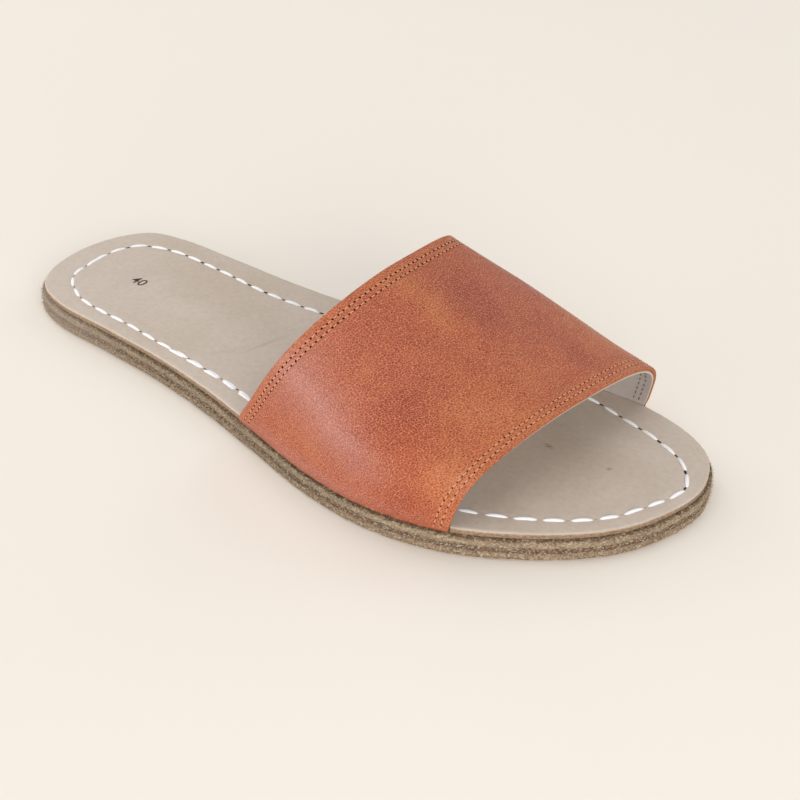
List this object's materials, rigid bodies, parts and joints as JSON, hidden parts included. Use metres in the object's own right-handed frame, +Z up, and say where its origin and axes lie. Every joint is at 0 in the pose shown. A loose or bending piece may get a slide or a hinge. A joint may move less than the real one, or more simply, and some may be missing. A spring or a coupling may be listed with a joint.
{
  "type": "slide sandal",
  "caption": "Right-foot slide sandal, open at toe and heel, with a wide leather strap over a flat layered leather sole and a stitched footbed.",
  "frame": {"origin": "on the floor, under the middle of the sole's outline", "axes": "+Z up, +Y from heel to toe, +X to the wearer's right, the lateral side of this right shoe"},
  "size_m": [0.1059, 0.27, 0.063],
  "materials": {
    "outsole_leather": "rough brown fibrous edge, flat worn underside",
    "midsole_leather": "light fibrous cut edge",
    "footbed_leather": "smooth natural leather, matt, brown cut edge",
    "strap_leather": "pebbled cognac leather, satin, pulled-up patches",
    "strap_lining": "light grey suede lining",
    "strap_thread": "tan sewing thread",
    "sole_thread": "white waxed thread"
  },
  "bodies": {
    "root": {"outsole": "outsole_leather", "midsole": "midsole_leather", "footbed": "footbed_leather", "upper": "strap_leather"}
  },
  "joints": []
}
